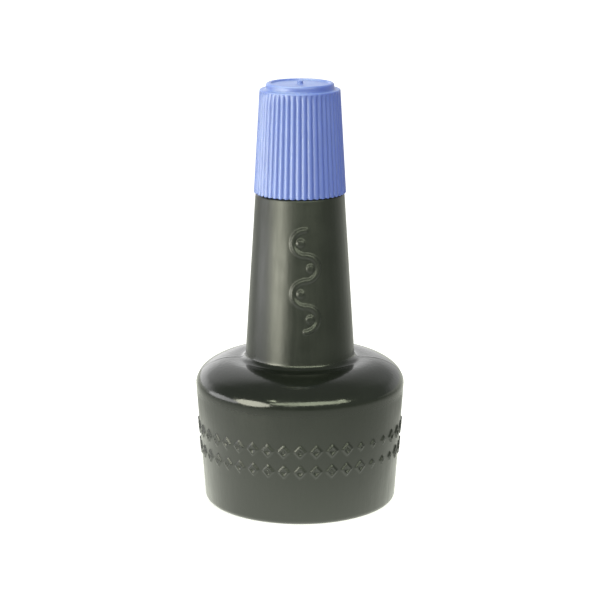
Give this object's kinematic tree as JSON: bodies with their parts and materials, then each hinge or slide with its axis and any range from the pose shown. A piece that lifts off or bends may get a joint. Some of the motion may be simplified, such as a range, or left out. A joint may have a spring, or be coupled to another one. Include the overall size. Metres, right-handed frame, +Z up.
{
  "type": "ink bottle",
  "caption": "Stamp-pad ink bottle with a broad low body, long tapered neck, dropper insert and ribbed tapered screw cap that turns and lifts off its thread.",
  "frame": {"origin": "on the axis, in the plane that the bottle stands on", "axes": "+Z up along the bottle's axis; -Y is the front, where the neck's raised wave is"},
  "size_m": [0.04, 0.04, 0.0812],
  "materials": {
    "black_blown_plastic": "glossy black, blow moulded",
    "ink": "dark liquid",
    "natural_plastic": "milky natural polyethylene",
    "foam_liner": "matte closed-cell foam",
    "blue_moulded_plastic": "satin periwinkle blue, injection moulded"
  },
  "bodies": {
    "bottle": {"bottle": "black_blown_plastic", "ink": "ink", "dropper_insert": "natural_plastic"},
    "liner": {"cap_liner": "foam_liner"},
    "cap": {"cap": "blue_moulded_plastic"}
  },
  "joints": [
    {"name": "cap_rise", "type": "slide", "parent": "bottle", "child": "liner", "axis": [0, 0, 1], "range_m": [0, 0.0211]},
    {"name": "cap_turn", "type": "hinge", "parent": "liner", "child": "cap", "pos_m": [0, 0, 0.06], "axis": [0, 0, 1], "range_deg": [0, 2520]}
  ],
  "couplings": [
    {"joint": "cap_rise", "follows": "cap_turn", "m_per_rad": 0.00047746}
  ]
}
